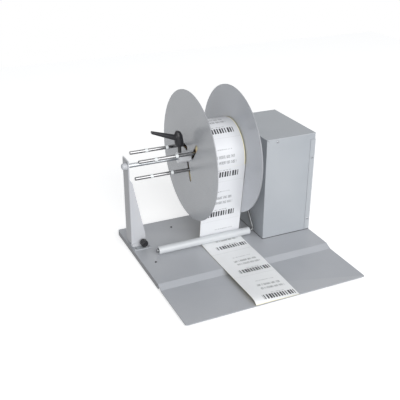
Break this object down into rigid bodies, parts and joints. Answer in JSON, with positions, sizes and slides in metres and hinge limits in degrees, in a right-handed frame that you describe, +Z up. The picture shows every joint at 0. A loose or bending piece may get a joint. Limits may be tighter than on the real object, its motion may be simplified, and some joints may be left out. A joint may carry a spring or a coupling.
{
  "type": "label rewinder",
  "caption": "Bench label rewinder: a motor housing on a bent base plate turns a spindle with slotted flanges, core rods, a clamp lever, a hinged end post and a dancer roller.",
  "frame": {"origin": "bottom centre of the whole object on the table", "axes": "+X along the spindle from the end post towards the motor housing, +Y towards the rear, +Z up"},
  "size_m": [0.435, 0.471, 0.365],
  "materials": {
    "sheet_paint": "satin grey powder coat",
    "housing_paint": "satin light grey powder coat",
    "bright_steel": "bright plated",
    "zinc": "zinc plated",
    "turned_alu": "turned",
    "black_plastic": "fine grain",
    "board": "solder mask",
    "motor_case": "satin",
    "bronze": "sintered",
    "rubber": "matt",
    "roller_white": "smooth white",
    "paper": "coated paper",
    "core_board": "kraft"
  },
  "bodies": {
    "base": {"base_plate": "sheet_paint", "rubber_feet": "rubber", "foot_screws": "zinc", "housing": "housing_paint", "side_cover": "housing_paint", "cover_screws": "zinc", "housing_screws": "zinc", "housing_base_screws": "zinc", "drive_bracket": "zinc", "drive_bracket_screws": "zinc", "wall_bearing": "bright_steel", "bracket_bearing": "bright_steel", "gear_motor": "motor_case", "motor_screws": "zinc", "drive_belt": "rubber", "control_board": "board", "board_standoffs": "zinc", "board_parts": "black_plastic", "power_inlet": "black_plastic", "power_switch": "black_plastic", "post_bracket": "housing_paint", "post_bracket_screws": "zinc", "post_pivot": "zinc", "dancer_bush": "bronze", "dancer_stop": "zinc", "tension_sensor": "black_plastic", "label_web": "paper"},
    "spindle": {"spindle_shaft": "bright_steel", "driven_pulley": "turned_alu", "shaft_rings": "zinc", "inner_hub": "turned_alu", "hub_ring": "zinc", "hub_set_screws": "zinc", "inner_flange": "sheet_paint", "paper_core": "core_board", "label_roll": "paper"},
    "rod_1": {"core_rod_1": "bright_steel", "rod_nut_1": "zinc"},
    "rod_2": {"core_rod_2": "bright_steel", "rod_nut_2": "zinc"},
    "rod_3": {"core_rod_3": "bright_steel", "rod_nut_3": "zinc"},
    "outer_flange_set": {"outer_flange": "sheet_paint", "clamp_collar": "turned_alu", "collar_ring": "zinc"},
    "lever": {"clamp_lever": "black_plastic", "lever_stud": "zinc"},
    "post": {"support_post": "housing_paint", "end_bearing_cap": "turned_alu", "end_bush": "bronze", "lock_nut": "zinc"},
    "knob": {"lock_knob": "black_plastic", "lock_stud": "zinc"},
    "dancer": {"dancer_bar": "bright_steel", "dancer_hub": "zinc", "dancer_shaft": "bright_steel"},
    "roller": {"guide_roller": "roller_white"},
    "motor_drive": {"motor_shaft": "bright_steel", "motor_pulley": "turned_alu"},
    "rocker": {"switch_rocker": "black_plastic"}
  },
  "joints": [
    {"name": "spindle_spin", "type": "hinge", "parent": "base", "child": "spindle", "pos_m": [-0.0035, 0.0855, 0.215], "axis": [1, 0, 0], "continuous": true},
    {"name": "outer_flange_slide", "type": "slide", "parent": "spindle", "child": "outer_flange_set", "axis": [-1, 0, 0], "range_m": [0, 0.04]},
    {"name": "clamp_lever_turn", "type": "hinge", "parent": "outer_flange_set", "child": "lever", "pos_m": [-0.0805, 0.0855, 0.245], "axis": [0, 0, 1], "range_deg": [-90, 90]},
    {"name": "core_rod_1_slide", "type": "slide", "parent": "spindle", "child": "rod_1", "axis": [0, -0.9903, -0.1392], "range_m": [0, 0.014]},
    {"name": "core_rod_2_slide", "type": "slide", "parent": "spindle", "child": "rod_2", "axis": [0, 0.6157, -0.788], "range_m": [0, 0.014]},
    {"name": "core_rod_3_slide", "type": "slide", "parent": "spindle", "child": "rod_3", "axis": [0, 0.3746, 0.9272], "range_m": [0, 0.014]},
    {"name": "dancer_swing", "type": "hinge", "parent": "base", "child": "dancer", "pos_m": [0.079, 0.0745, 0.1045], "axis": [-1, 0, 0], "range_deg": [0, 40], "deforming": ["label_web"]},
    {"name": "guide_roller_spin", "type": "hinge", "parent": "dancer", "child": "roller", "pos_m": [-0.0445, 0.0225, 0.026], "axis": [1, 0, 0], "continuous": true},
    {"name": "support_post_swing", "type": "hinge", "parent": "base", "child": "post", "pos_m": [-0.201, 0.0775, 0.0226], "axis": [0, -1, 0], "range_deg": [0, 90]},
    {"name": "lock_knob_turn", "type": "hinge", "parent": "post", "child": "knob", "pos_m": [-0.1805, 0.0725, 0.0291], "axis": [0, 1, 0], "continuous": true},
    {"name": "motor_spin", "type": "hinge", "parent": "base", "child": "motor_drive", "pos_m": [0.1155, 0.1095, 0.105], "axis": [1, 0, 0], "continuous": true},
    {"name": "power_rocker", "type": "hinge", "parent": "base", "child": "rocker", "pos_m": [0.173, 0.1745, 0.048], "axis": [1, 0, 0], "range_deg": [0, 16]}
  ],
  "couplings": [
    {"joint": "motor_spin", "follows": "spindle_spin", "ratio": 2.5}
  ]
}
